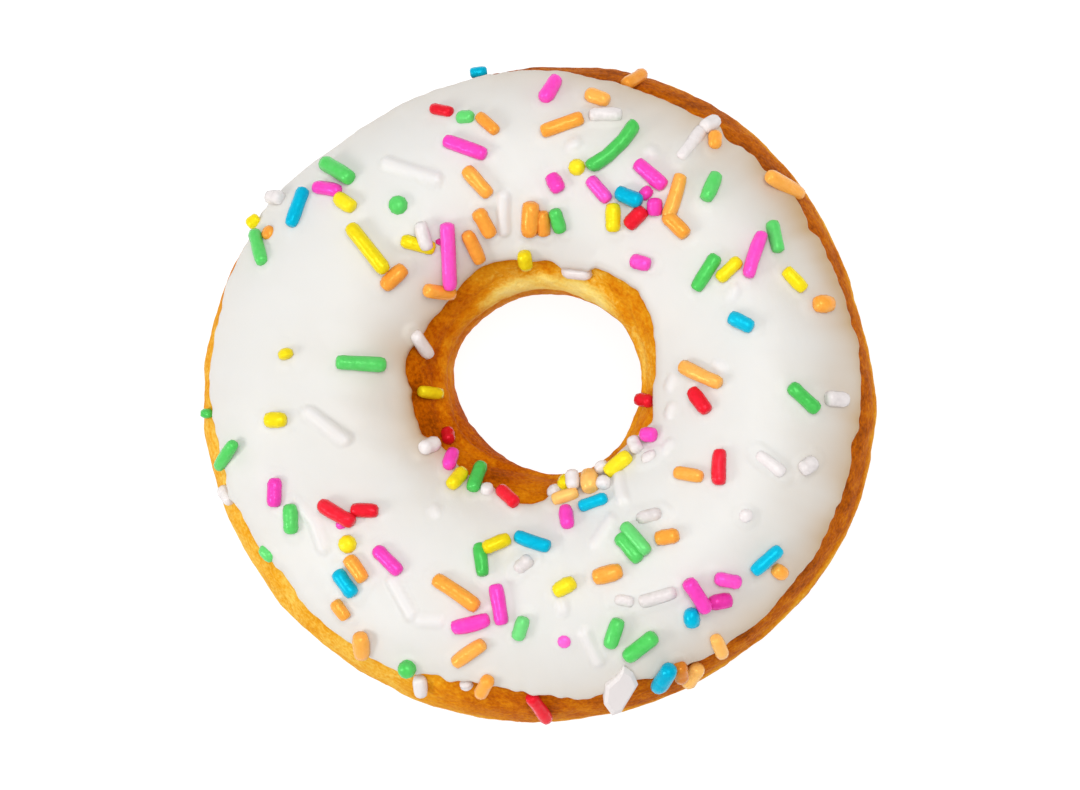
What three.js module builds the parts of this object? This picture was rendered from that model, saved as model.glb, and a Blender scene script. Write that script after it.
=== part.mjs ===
// A ring doughnut under white sugar icing, in millimetres, +Z up.
//
// It is two pieces: the fried ring of yeast dough, and the coat of icing that its crown was
// dipped in. The origin is on the table, under the middle of the ring.
//
// A bearing runs anticlockwise round the ring, seen from above, with 0 degrees on +X.
// A section angle runs round the tube of dough: 0 degrees on its outer side, 90 at its
// crown and 180 on its side in the hole.

import * as THREE from 'three';
import { ParametricGeometry } from 'three/addons/geometries/ParametricGeometry.js';
import { mergeVertices } from 'three/addons/utils/BufferGeometryUtils.js';

// The plan of the ring. A doughnut is never a true circle: lobes are the waves of its
// outline, each with its number of crests, its height and the bearing of its first crest.
const RING_RADIUS = 43.6;
const RING_CENTRE = { x: 0.48, y: -0.2 };
const RING_LOBES = [
  { count: 2, height: 0.82, crest: 7 },
  { count: 3, height: 0.54, crest: 67 },
  { count: 4, height: 0.46, crest: 72 },
  { count: 5, height: 0.05, crest: 53 },
  { count: 6, height: 0.1, crest: 46 },
];

// The hole was cut a little off the middle and drew out of round as the dough proved.
const HOLE_RADIUS = 12.4;
const HOLE_CENTRE = { x: 2.1, y: 1.4 };
const HOLE_LOBES = [
  { count: 2, height: 0.8, crest: 156 },
  { count: 3, height: 0.09, crest: 38 },
  { count: 4, height: 0.1, crest: 44 },
  { count: 5, height: 0.09, crest: 13 },
];

// The section of the ring. The waist is its widest level, where the two frying sides meet.
// A fullness of 2 makes an ellipse, and a larger one squarer shoulders.
const WAIST_HEIGHT = 12.5;
const CROWN_RISE = 15;
const CROWN_LOBES = [
  { count: 1, height: 0.25, crest: 200 },
  { count: 2, height: 0.3, crest: 100 },
  { count: 3, height: 0.2, crest: 20 },
];
const CROWN_FULLNESS = 2.1;
// The underside would belly out this far below the waist if it hadn't settled flat.
const BELLY_DEPTH = 13.4;
const BELLY_FULLNESS = 2.4;

// The icing, and the clearance that keeps it a piece of its own.
const ICING_THICKNESS = 1.2;
const ICING_CLEARANCE = 0.35;
// How blunt its lip is: 1 would be a knife edge, and 0 a square step.
const LIP_TAPER = 0.35;

// The height of the icing's lip above the table, on the outer side and in the hole. Each
// run is a place where it flowed further down (or, if negative, stopped short), with its
// bearing, its depth and how many degrees it spreads to each side.
const OUTER_LIP_HEIGHT = 23.2;
const OUTER_RUNS = [
  { bearing: 14, depth: 4.3, spread: 27 },
  { bearing: 105, depth: 2.2, spread: 22 },
  { bearing: 140, depth: 1.8, spread: 18 },
  { bearing: 198, depth: 1.6, spread: 8 },
  { bearing: 235, depth: 0.7, spread: 18 },
  { bearing: 264, depth: -0.6, spread: 12 },
  { bearing: 318, depth: 2.6, spread: 34 },
];
const HOLE_LIP_HEIGHT = 22.3;
const HOLE_RUNS = [
  { bearing: 34, depth: -1.7, spread: 20 },
  { bearing: 138, depth: 1.2, spread: 16 },
  { bearing: 204, depth: -0.5, spread: 10 },
  { bearing: 272, depth: -1.8, spread: 18 },
  { bearing: 313, depth: 1.9, spread: 18 },
];

// How finely the two skins are divided, round the ring and round the section.
const RING_STEPS = 96;
const DOUGH_STEPS = 24;
const ICING_STEPS = 26;

const FULL_TURN = 2 * Math.PI;

// The sum of some lobes at a bearing.
function waviness(bearing, lobes) {
  let sum = 0;
  for (const lobe of lobes) {
    const crest = THREE.MathUtils.degToRad(lobe.crest);
    sum += lobe.height * Math.cos(lobe.count * (bearing - crest));
  }
  return sum;
}

// How much lower the lip is at a bearing than where it didn't run: a bell curve a run.
function runDepth(bearing, runs) {
  let depth = 0;
  for (const run of runs) {
    const turn = THREE.MathUtils.radToDeg(bearing) - run.bearing;
    const away = THREE.MathUtils.euclideanModulo(turn + 180, 360) - 180;
    depth += run.depth * Math.exp(-((away / run.spread) ** 2));
  }
  return depth;
}

// How much further from the origin a near-round outline is for lying off the middle.
function offCentre(bearing, centre) {
  return centre.x * Math.cos(bearing) + centre.y * Math.sin(bearing);
}

function ringRadius(bearing) {
  return RING_RADIUS + offCentre(bearing, RING_CENTRE) + waviness(bearing, RING_LOBES);
}

function holeRadius(bearing) {
  return HOLE_RADIUS + offCentre(bearing, HOLE_CENTRE) + waviness(bearing, HOLE_LOBES);
}

function crownRise(bearing) {
  return CROWN_RISE + waviness(bearing, CROWN_LOBES);
}

// A cosine or sine bent from a circle's to a fuller curve's, with its sign kept.
function fuller(ratio, fullness) {
  return Math.sign(ratio) * Math.abs(ratio) ** (2 / fullness);
}

// The point on the dough, or lifted off it, at a bearing and a section angle.
function skinPoint(bearing, section, lift, target) {
  const outer = ringRadius(bearing);
  const inner = holeRadius(bearing);
  const upper = Math.sin(section) >= 0;
  const fullness = upper ? CROWN_FULLNESS : BELLY_FULLNESS;
  const rise = upper ? crownRise(bearing) : BELLY_DEPTH;
  const across = ((outer - inner) / 2 + lift) * fuller(Math.cos(section), fullness);
  const height = (rise + lift) * fuller(Math.sin(section), fullness);
  const radius = (outer + inner) / 2 + across;
  const level = Math.max(0, WAIST_HEIGHT + height);
  target.set(radius * Math.cos(bearing), radius * Math.sin(bearing), level);
}

// The section angle, up from the waist, at which the crown reaches a height.
function sectionAtHeight(bearing, height) {
  const share = (height - WAIST_HEIGHT) / crownRise(bearing);
  return Math.asin(share ** (CROWN_FULLNESS / 2));
}

// The dough: up its outer side, over the crown, down the hole, and flat underneath between
// the two feet, where the belly meets the table.
const FOOT = Math.asin((WAIST_HEIGHT / BELLY_DEPTH) ** (BELLY_FULLNESS / 2));

function doughSurface(aroundRing, aroundSection, target) {
  const step = Math.round(aroundSection * DOUGH_STEPS) % DOUGH_STEPS;
  const share = step / (DOUGH_STEPS - 1);
  const section = -FOOT + share * (Math.PI + 2 * FOOT);
  skinPoint(aroundRing * FULL_TURN, section, 0, target);
}

// The icing: over the top from its outer lip to its lip in the hole, and back underneath.
function icingSurface(aroundRing, aroundSection, target) {
  const bearing = aroundRing * FULL_TURN;
  const turn = aroundSection * FULL_TURN;
  const outerLip = OUTER_LIP_HEIGHT - runDepth(bearing, OUTER_RUNS);
  const holeLip = HOLE_LIP_HEIGHT - runDepth(bearing, HOLE_RUNS);
  const start = sectionAtHeight(bearing, outerLip);
  const end = Math.PI - sectionAtHeight(bearing, holeLip);
  const share = (1 - Math.cos(turn)) / 2;
  const coat = ICING_THICKNESS * Math.max(0, Math.sin(turn)) ** LIP_TAPER;
  skinPoint(bearing, start + share * (end - start), ICING_CLEARANCE + coat, target);
}

// A closed skin from a surface whose two parameters both run full circle: its doubled seams
// are merged.
function closedSkin(surface, sectionSteps) {
  const open = new ParametricGeometry(surface, RING_STEPS, sectionSteps);
  open.deleteAttribute('normal');
  open.deleteAttribute('uv');
  const skin = mergeVertices(open, 1e-4);
  skin.computeVertexNormals();
  return skin;
}

function makeDoughRing() {
  const crust = new THREE.MeshStandardMaterial({
    color: 0xd2913f,
    roughness: 0.6,
    metalness: 0,
  });
  const ring = new THREE.Mesh(closedSkin(doughSurface, DOUGH_STEPS), crust);
  ring.name = 'dough_ring';
  return ring;
}

function makeIcing() {
  const sugar = new THREE.MeshStandardMaterial({
    color: 0xf3f0ea,
    roughness: 0.4,
    metalness: 0,
  });
  const icing = new THREE.Mesh(closedSkin(icingSurface, ICING_STEPS), sugar);
  icing.name = 'icing';
  return icing;
}

const doughnut = new THREE.Group();
doughnut.add(makeDoughRing());
doughnut.add(makeIcing());

export default doughnut;
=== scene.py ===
# %% [markdown]
# # A ring doughnut with sugar icing and sprinkles
#
# A ring doughnut is yeast dough with a hole, left to rise, fried on one side and then the
# other, and dipped crown first into white icing. While the icing is wet, rods of coloured
# sugar are thrown on it. This lesson makes those three things one after another, as surfaces
# worked out with numpy, and then gives each the finish of the real one.
#
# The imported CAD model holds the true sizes. Its two solids, the dough and the icing, are
# both replaced by finer surfaces of the same form.

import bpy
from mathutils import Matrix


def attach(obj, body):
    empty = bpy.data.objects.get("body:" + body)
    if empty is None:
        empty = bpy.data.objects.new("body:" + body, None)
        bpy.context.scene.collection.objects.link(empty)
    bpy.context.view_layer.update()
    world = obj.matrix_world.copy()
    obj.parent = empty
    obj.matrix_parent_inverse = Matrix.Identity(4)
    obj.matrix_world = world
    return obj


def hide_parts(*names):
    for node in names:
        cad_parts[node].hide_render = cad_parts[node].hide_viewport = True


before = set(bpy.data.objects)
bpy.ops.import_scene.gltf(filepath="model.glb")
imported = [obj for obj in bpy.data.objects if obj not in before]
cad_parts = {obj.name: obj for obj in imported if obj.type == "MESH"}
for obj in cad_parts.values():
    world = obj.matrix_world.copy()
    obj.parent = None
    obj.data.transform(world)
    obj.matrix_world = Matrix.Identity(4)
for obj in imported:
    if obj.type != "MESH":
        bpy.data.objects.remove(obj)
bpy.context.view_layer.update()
print("CAD nodes:", sorted(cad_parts))

import bpy
import numpy as np
from mathutils import Matrix, Vector
from mathutils.bvhtree import BVHTree

MM = 0.001
FULL_TURN = 2 * np.pi
dice = np.random.default_rng(12)

# %% [markdown]
# ## The camera
#
# The doughnut is looked down on, from a little to the right and in front. The camera could
# be turned by hand with Euler angles, but a direction worked out from a tilt and a bearing
# is easier to check, and the sprinkles need the same numbers later: each is laid where a
# line of sight meets the icing. The frame's +Y stays up in the camera's view.

# %% Set up the camera: pixels, degrees and millimetres
PICTURE_WIDTH = 1080
PICTURE_HEIGHT = 790
CAMERA_TILT = np.radians(12.5)
CAMERA_BEARING = np.radians(-28)
CAMERA_DISTANCE = 394.7
AIM = np.array([0.89, -0.35, 12.5])
LENS = 100
SENSOR = 36
FOCAL = LENS / SENSOR * PICTURE_WIDTH
NEAREST_SEEN = 20

towards_camera = np.array([
    np.sin(CAMERA_TILT) * np.cos(CAMERA_BEARING),
    np.sin(CAMERA_TILT) * np.sin(CAMERA_BEARING),
    np.cos(CAMERA_TILT),
])
picture_right = np.cross([0, 1, 0], towards_camera)
picture_right /= np.linalg.norm(picture_right)
picture_up = np.cross(towards_camera, picture_right)
eye = AIM + CAMERA_DISTANCE * towards_camera


def line_of_sight(pixel):
    """The unit direction from the eye through a pixel: straight ahead, plus the pixel's
    distance from the view's middle along its right and up, over the focal length."""
    right = (pixel[0] - PICTURE_WIDTH / 2) / FOCAL
    up = (PICTURE_HEIGHT / 2 - pixel[1]) / FOCAL
    ray = right * picture_right + up * picture_up - towards_camera
    return ray / np.linalg.norm(ray)


camera_data = bpy.data.cameras.new("doughnut_camera")
camera_data.lens = LENS
camera_data.sensor_width = SENSOR
camera_data.clip_start = NEAREST_SEEN * MM
camera = bpy.data.objects.new("doughnut_camera", camera_data)
turn = Matrix((picture_right, picture_up, towards_camera)).transposed()
camera.matrix_world = Matrix.Translation(Vector(eye * MM)) @ turn.to_4x4()
bpy.context.scene.collection.objects.link(camera)
bpy.context.scene.camera = camera
print("the eye is at", np.round(eye), "mm")

# %% [markdown]
# ## The form of the ring
#
# No doughnut is a true torus. The ring bulges here and there, the hole sits off the middle,
# and the section is a fuller curve than a circle that has settled flat underneath. Each of
# these is a small formula on top of the last, so the whole skin is one function of two
# angles: the bearing round the ring, and the section angle round the tube of dough, which is
# 0 degrees on the outer side, 90 at the crown and 180 in the hole.

# %% Name the ring's sizes, in millimetres and degrees
RING_RADIUS = 43.6
RING_CENTRE = (0.48, -0.2)
RING_LOBES = [(2, 0.82, 7), (3, 0.54, 67), (4, 0.46, 72), (5, 0.05, 53), (6, 0.1, 46)]
HOLE_RADIUS = 12.4
HOLE_CENTRE = (2.1, 1.4)
HOLE_LOBES = [(2, 0.8, 156), (3, 0.09, 38), (4, 0.1, 44), (5, 0.09, 13)]
WAIST_HEIGHT = 12.5
CROWN_RISE = 15
CROWN_LOBES = [(1, 0.25, 200), (2, 0.3, 100), (3, 0.2, 20)]
CROWN_FULLNESS = 2.1
BELLY_DEPTH = 13.4
BELLY_FULLNESS = 2.4
FOOT_SOFTNESS = 0.6


# %% Work out a point of the skin
def waviness(bearing, lobes):
    """The sum of the lobes: each is its height times the cosine of its count times the
    bearing from its first crest."""
    total = 0
    for count, height, crest in lobes:
        total = total + height * np.cos(count * (bearing - np.radians(crest)))
    return total


def outline(bearing, radius, centre, lobes):
    """How far out a near-round outline lies: a circle's radius, plus as much of its
    centre's move off the middle as lies along the bearing, plus its lobes."""
    moved = centre[0] * np.cos(bearing) + centre[1] * np.sin(bearing)
    return radius + moved + waviness(bearing, lobes)


def crown_rise(bearing):
    """How far the crown stands above the waist at a bearing."""
    return CROWN_RISE + waviness(bearing, CROWN_LOBES)


def fuller(ratio, fullness):
    """A sine or cosine raised to 2 over the fullness, with its sign kept: an ellipse bent
    towards squarer shoulders."""
    return np.sign(ratio) * np.abs(ratio) ** (2 / fullness)


def skin(bearing, section, lift):
    """The point at a bearing and section angle: half the tube's width times the fuller
    cosine outwards, and its rise times the fuller sine upwards, both grown by the lift. A
    soft maximum of that height and the table makes the flat foot."""
    outer = outline(bearing, RING_RADIUS, RING_CENTRE, RING_LOBES)
    inner = outline(bearing, HOLE_RADIUS, HOLE_CENTRE, HOLE_LOBES)
    upper = np.sin(section) >= 0
    fullness = np.where(upper, CROWN_FULLNESS, BELLY_FULLNESS)
    rise = np.where(upper, crown_rise(bearing), BELLY_DEPTH)
    across = ((outer - inner) / 2 + lift) * fuller(np.cos(section), fullness)
    height = WAIST_HEIGHT + (rise + lift) * fuller(np.sin(section), fullness)
    lowest = WAIST_HEIGHT - BELLY_DEPTH
    settled = (height + np.hypot(height, FOOT_SOFTNESS)) / 2
    settled -= (lowest + np.hypot(lowest, FOOT_SOFTNESS)) / 2
    radius = (outer + inner) / 2 + across
    return np.stack([radius * np.cos(bearing), radius * np.sin(bearing), settled], axis=-1)


print("the crown is", round(float(skin(0.0, np.pi / 2, 0)[2]), 2), "mm high at bearing 0")

# %% [markdown]
# ## Unevenness without a seam
#
# Real crust and icing are never smooth. A noise texture could move the surface, but a
# displacement made by the shader is lost on export, so the relief goes into the mesh. The
# noise here is the sum of many plane waves that run through space in random directions. It
# has a known wavelength, it costs one cosine a wave, and because it reads a point's place in
# space it can't show a seam where the grid closes on itself.


# %% Make noise from plane waves
WAVES = 28
WAVE_NUMBER_RANGE = (0.75, 1.3)
USUAL_PEAK = 1.6


def ripple(points, wavelength, seed):
    """Noise between about -1 and 1: the sum of many cosines of a point's distance along
    random directions, in wavelengths, over the square root of half their number and over
    how far such a sum usually reaches."""
    draw = np.random.default_rng(seed)
    directions = draw.normal(size=(WAVES, 3))
    directions /= np.linalg.norm(directions, axis=1, keepdims=True)
    directions *= draw.uniform(*WAVE_NUMBER_RANGE, size=(WAVES, 1))
    phases = draw.uniform(0, FULL_TURN, size=WAVES)
    total = np.zeros(points.shape[:-1])
    for direction, phase in zip(directions, phases):
        total += np.cos(points @ direction * (FULL_TURN / wavelength) + phase)
    return total * np.sqrt(2 / WAVES) / USUAL_PEAK


def layered(points, layers):
    """The sum of a few ripples: each layer has its height, its wavelength and its seed."""
    return sum(height * ripple(points, wavelength, seed) for height, wavelength, seed in layers)


# %% Steps and bumps that the shapes and finishes share
def bell(distance, spread):
    """A smooth bump: e to the minus the square of the distance over its spread."""
    return np.exp(-((distance / spread) ** 2))


def blend(first, second, share):
    """The first value plus a share of the way to the second."""
    return first + (second - first) * share


def ramp(value, start, end):
    """How far a value is from the start to the end, held between 0 and 1."""
    return np.clip((value - start) / (end - start), 0, 1)


# %% [markdown]
# ## Closed surfaces from a grid
#
# A surface that closes both ways round needs no cap and no seam: the last row and the last
# column simply join on to the first. Writing the corners and faces as whole arrays is far
# quicker than adding faces one at a time.


# %% Turn a grid of points into a closed mesh
def grid_faces(rows, columns):
    """Quads of a grid that wraps both ways: each joins a point to its neighbours in the
    next row and column, counted modulo the grid's size."""
    row, column = np.meshgrid(np.arange(rows), np.arange(columns), indexing="ij")
    next_row = (row + 1) % rows
    next_column = (column + 1) % columns
    corners = [
        row * columns + column,
        next_row * columns + column,
        next_row * columns + next_column,
        row * columns + next_column,
    ]
    return np.stack([corner.ravel() for corner in corners], axis=-1)


def mesh_object(name, points, faces):
    """An object at the origin whose smooth-shaded mesh holds the points, in millimetres
    turned to metres, and the faces: a list of tables, one for each number of corners."""
    mesh = bpy.data.meshes.new(name)
    corners = np.concatenate([table.ravel() for table in faces]).astype(np.int32)
    sizes = np.concatenate([np.full(len(table), table.shape[1]) for table in faces])
    mesh.vertices.add(len(points))
    mesh.vertices.foreach_set("co", (points * MM).astype(np.float32).ravel())
    mesh.loops.add(len(corners))
    mesh.loops.foreach_set("vertex_index", corners)
    mesh.polygons.add(len(sizes))
    mesh.polygons.foreach_set("loop_start", (np.cumsum(sizes) - sizes).astype(np.int32))
    mesh.polygons.foreach_set("loop_total", sizes.astype(np.int32))
    mesh.polygons.foreach_set("use_smooth", np.ones(len(sizes), dtype=bool))
    mesh.update(calc_edges=True)
    mesh.validate()
    made = bpy.data.objects.new(name, mesh)
    bpy.context.scene.collection.objects.link(made)
    return made


def store(made, name, values):
    """Keep one number for each point of a mesh, for its material to read."""
    attribute = made.data.attributes.new(name, "FLOAT", "POINT")
    attribute.data.foreach_set("value", values.astype(np.float32).ravel())


# %% [markdown]
# ## The dough
#
# Where the two frying sides meet, a band of dough never touched the oil. It stays pale and
# a little proud, with a faint crease above and below. On the outer side it lies at the
# waist, and in the hole several millimetres higher, because the ring rolled inwards as it
# proved. The rest of the crust is covered in small blisters and shallow wrinkles.
# Most of the crown is hidden by icing, so the grid spends its rows on the two sides.

# %% Name the dough's sizes, in millimetres and degrees
DOUGH_BEARINGS = 600
SIDE_ROWS = 66
CROWN_ROWS = 10
FOOT_ROWS = 16
SIDE_TOP = np.radians(56)
SIDE_BOTTOM = np.radians(-66)
HOLE_SHARPNESS = 8
OUTER_BAND_HEIGHT = 12.0
OUTER_BAND_REACH = 1.2
OUTER_BAND_RISE = 0.15
OUTER_BAND_WANDER = 0.45
HOLE_BAND_HEIGHT = 16.4
HOLE_BAND_LOBES = [(1, 0.35, 60), (2, 1.4, 47), (3, 0.3, 100)]
HOLE_BAND_REACH = 0.8
HOLE_BAND_RISE = 0.35
HOLE_BAND_WANDER = 0.2
HOLE_BAND_DROP = 0.4
WANDER_LENGTH = 22
# A side has the bearing of its middle, its half width and its softness.
WIDE_SIDE = (72, 40, 0.14)
WIDE_SIDE_SWELL = 1.7
LEFT_SIDE = (160, 36, 0.06)
LEFT_SIDE_SWELL = 0.5
# A crease has its depth, and its place above the band's middle in reaches of the band.
CREASES = [(0.15, 1.7), (0.25, -1.6)]
CREASE_WIDTH = 0.4
# A layer of noise has its height, its wavelength and its seed.
CRUST_LAYERS = [(0.16, 14, 1), (0.07, 5, 2), (0.04, 2.4, 4), (0.03, 1.3, 5)]
CALM_BELOW = 3
LEAST_RELIEF = 0.15


def around(bearing, middle, half_width, softness):
    """A soft step round the ring: near 1 within the half width of the middle bearing and 0
    beyond it, from the cosine of the angle between the two, over the softness. The middle
    and the half width are in degrees."""
    edge = np.cos(np.radians(half_width))
    return 1 / (1 + np.exp((edge - np.cos(bearing - np.radians(middle))) / softness))


def rows_between(start, end, count):
    """Evenly spaced section angles from the start up to, but not with, the end."""
    return start + (end - start) * np.arange(count) / count


# %% Make the dough's surface
dough_sections = np.concatenate([
    rows_between(SIDE_BOTTOM, SIDE_TOP, SIDE_ROWS),
    rows_between(SIDE_TOP, np.pi - SIDE_TOP, CROWN_ROWS),
    rows_between(np.pi - SIDE_TOP, np.pi - SIDE_BOTTOM, SIDE_ROWS),
    rows_between(np.pi - SIDE_BOTTOM, FULL_TURN + SIDE_BOTTOM, FOOT_ROWS),
])
dough_bearings = FULL_TURN * np.arange(DOUGH_BEARINGS) / DOUGH_BEARINGS
bearing, section = np.meshgrid(dough_bearings, dough_sections, indexing="ij")
plain = skin(bearing, section, 0)
height = plain[..., 2]
in_hole = 1 / (1 + np.exp(HOLE_SHARPNESS * np.cos(section)))
wide_side = around(bearing, *WIDE_SIDE)
left_side = around(bearing, *LEFT_SIDE)
hole_band = HOLE_BAND_HEIGHT + waviness(bearing, HOLE_BAND_LOBES) - HOLE_BAND_DROP * wide_side
wander = blend(OUTER_BAND_WANDER, HOLE_BAND_WANDER, in_hole)
band_height = blend(OUTER_BAND_HEIGHT, hole_band, in_hole)
band_height = band_height + wander * ripple(plain * [1, 1, 0], WANDER_LENGTH, 3)
hole_reach = HOLE_BAND_REACH + WIDE_SIDE_SWELL * wide_side + LEFT_SIDE_SWELL * left_side
from_band = (height - band_height) / blend(OUTER_BAND_REACH, hole_reach, in_hole)
relief = layered(plain, CRUST_LAYERS)
relief += blend(OUTER_BAND_RISE, HOLE_BAND_RISE, in_hole) * bell(from_band, 1)
for depth, place in CREASES:
    relief -= depth * bell(from_band - place, CREASE_WIDTH)
relief *= np.clip(height / CALM_BELOW, LEAST_RELIEF, 1)
dough_points = skin(bearing, section, relief)
dough_points[..., 2] = np.maximum(dough_points[..., 2], 0)
dough = mesh_object(
    "dough",
    dough_points.reshape(-1, 3),
    [grid_faces(DOUGH_BEARINGS, len(dough_sections))],
)
print("dough:", len(dough.data.polygons), "faces")

# %% [markdown]
# ## How brown the crust is, with painted light and shade
#
# Oil browns dough wherever the two touch. One number a point says how brown it is, from 0
# for the cream of the band to 1 for scorched, and part of that number is painted light and
# shade: the outer side that faces the window light is paler as painted light, and the wall
# in the hole that faces away from it is darker as painted shade, as are the wall low in the
# hole and the crust just under the icing's lip. The band at the top of the hole is pale
# partly as raw dough and partly as painted light. It could be painted by hand, but a few
# soft steps over the bearing, the height and the distance from the band give the same result
# and are easy to change. Each step blends the result so far towards a new one, or adds a
# little to it.

# %% Name the brown and the pale places: sides as above, and heights in millimetres
OUTER_BROWN = 0.8
# Painted light: the outer side that faces the window light is paler, and its blotches calmer. A little
# further round, near bearing 262, the outer side is a little paler too.
LIT_OUTER_SIDE = (204, 50, 0.12)
LIT_OUTER_PALING = 0.42
LIT_OUTER_CALM = 0.6
PALE_TAIL_SIDE = (262, 20, 0.1)
TAIL_PALING = 0.08
HOLE_BROWN = 0.5
# Painted shade: the wall in the hole that faces away from the window light is darker.
SHADED_HOLE_SIDE = (205, 80, 0.45)
SHADED_HOLE_DARKENING = 0.38
UNDERSIDE_BROWN = 0.72
UNDERSIDE_HEIGHTS = (8, 2)
NEAR_BAND_PALING = 0.1
NEAR_BAND_REACH = 2.4
OUTER_BAND_BROWN = 0.5
HOLE_BAND_PALING = 0.06
LEFT_BAND_PALING = 0.14
# The band at the top of the hole is paler: partly raw dough, and partly painted light where it faces the
# window light.
RAW_AND_LIT_BAND_SIDE = (78, 41, 0.08)
RAW_AND_LIT_BAND_BROWN = 0.08
BAND_EDGE = 0.16
BELOW_BAND = (-0.9, -1.5)
BELOW_BAND_BROWN = 0.8
BELOW_BAND_SHARE = 0.25
LOW_PALE_SIDE = (122, 60, 0.12)
LOW_PALE_BROWN = 0.5
LOW_PALE_SHARE = 0.8
# Painted shade: the wall low in the hole, below a wavy height, is darker.
LOW_SHADE_HEIGHT = 12
LOW_SHADE_LOBES = [(1, 2.6, 10)]
LOW_SHADE_FADE = 1.5
LOW_SHADE_DARKENING = 0.14
# Painted shadow: the crust just under the icing's lip is darker, on the browner side.
LIP_SHADOW_HEIGHTS = (16, 20)
LIP_SHADOW_DARKENING = 0.07
BROWN_ENOUGH = (0.5, 0.7)
# A darker line along the lower crease below the outer band.
CREASE_LINE_PLACE = -1.75
CREASE_LINE_WIDTH = 0.45
CREASE_LINE_DARKENING = 0.1
BLOTCH_LAYERS = [(0.06, 9, 11), (0.05, 3.2, 12)]

# %% Brown the two sides, the underside and the band, with painted light on the outer side and painted shade on the hole's wall
outside = 1 - in_hole
# The outer side that faces the window light is paler: painted light.
lit_outer = around(bearing, *LIT_OUTER_SIDE)
outer_brown_and_light = OUTER_BROWN - LIT_OUTER_PALING * lit_outer
outer_brown_and_light -= TAIL_PALING * around(bearing, *PALE_TAIL_SIDE)
# The hole's wall turned away from the window light is darker: painted shade.
hole_brown_and_shade = HOLE_BROWN + SHADED_HOLE_DARKENING * around(bearing, *SHADED_HOLE_SIDE)
brown_and_light = blend(outer_brown_and_light, hole_brown_and_shade, in_hole)
brown_and_light = blend(brown_and_light, UNDERSIDE_BROWN, ramp(height, *UNDERSIDE_HEIGHTS))
brown_and_light = brown_and_light - NEAR_BAND_PALING * bell(from_band, NEAR_BAND_REACH)
hole_band_brown_and_light = hole_brown_and_shade - HOLE_BAND_PALING - LEFT_BAND_PALING * left_side
# Paler band at the top of the hole: raw dough and painted light.
hole_band_brown_and_light = blend(hole_band_brown_and_light, RAW_AND_LIT_BAND_BROWN, around(bearing, *RAW_AND_LIT_BAND_SIDE))
band_brown_and_light = blend(OUTER_BAND_BROWN, hole_band_brown_and_light, in_hole)
band_share = 1 / (1 + np.exp((np.abs(from_band) - 1) / BAND_EDGE))
brown_and_light = blend(brown_and_light, band_brown_and_light, band_share)

# %% Brown the wall below the band, paint shade low in the hole and under the icing's lip, darken the lower crease, and add blotches
low_pale = around(bearing, *LOW_PALE_SIDE)
below_band = ramp(from_band, *BELOW_BAND) * in_hole
brown_and_light = blend(brown_and_light, BELOW_BAND_BROWN, BELOW_BAND_SHARE * below_band * (1 - low_pale))
brown_and_light = blend(brown_and_light, LOW_PALE_BROWN, LOW_PALE_SHARE * below_band * low_pale)
# Painted shade low in the hole, where less light reaches.
low_shade_height = LOW_SHADE_HEIGHT + waviness(bearing, LOW_SHADE_LOBES)
low_shade = ramp(low_shade_height - height, 0, LOW_SHADE_FADE) * in_hole
brown_and_light = brown_and_light + LOW_SHADE_DARKENING * low_shade * (1 - low_pale)
# Painted shadow under the icing's lip.
lip_shadow = ramp(height, *LIP_SHADOW_HEIGHTS) * outside * ramp(outer_brown_and_light, *BROWN_ENOUGH)
brown_and_light = brown_and_light + LIP_SHADOW_DARKENING * lip_shadow
# Darker along the lower crease outside.
brown_and_light = brown_and_light + CREASE_LINE_DARKENING * bell(from_band - CREASE_LINE_PLACE, CREASE_LINE_WIDTH) * outside
blotches = layered(plain, BLOTCH_LAYERS)
# The blotches are calmer where the outer side is painted lighter.
brown_and_light = brown_and_light + blotches * (1 - LIT_OUTER_CALM * lit_outer * outside)
store(dough, "browning_and_light", brown_and_light)
print("browning runs from", round(float(brown_and_light.min()), 2), "to", round(float(brown_and_light.max()), 2))

# %% [markdown]
# ## The icing
#
# The crown is dipped, turned up again, and the icing runs until it sets. It ends in a lip
# that hangs lower where more ran down, and surface tension leaves that lip thick and round.
# The sheet could be cut from the dough with a modifier, but then its lip would be a cut
# edge. Here the sheet is a closed crescent instead: it rises steeply from the crust at each
# lip, swells into a bead, and evens out over the crown.
#
# Where the lips lie is drawn like a line on a map: a row of places in the camera's
# view, in pixels, each matched to the point of the crown that is seen there. The stretch
# that the camera can't see is given by bearings, in degrees, and heights, in millimetres.

# %% Name the icing's sizes, in millimetres and degrees
ICING_BEARINGS = 660
ICING_TOP_ROWS = 112
ICING_UNDER_ROWS = 12
ICING_THICKNESS = 1.4
ICING_ROOT = -0.3
ICING_LAYERS = [(0.12, 13, 7), (0.04, 5, 8)]
LIP_LENGTH = 1.3
BEAD_THICKNESS = 0.16
BEAD_PLACE = 1.8
BEAD_WIDTH = 1.3
OUTER_SCALLOPS = [(0.12, 6, 20), (0.15, 1.9, 21)]
HOLE_SCALLOPS = [(0.12, 6, 30), (0.1, 1.9, 31)]

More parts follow.
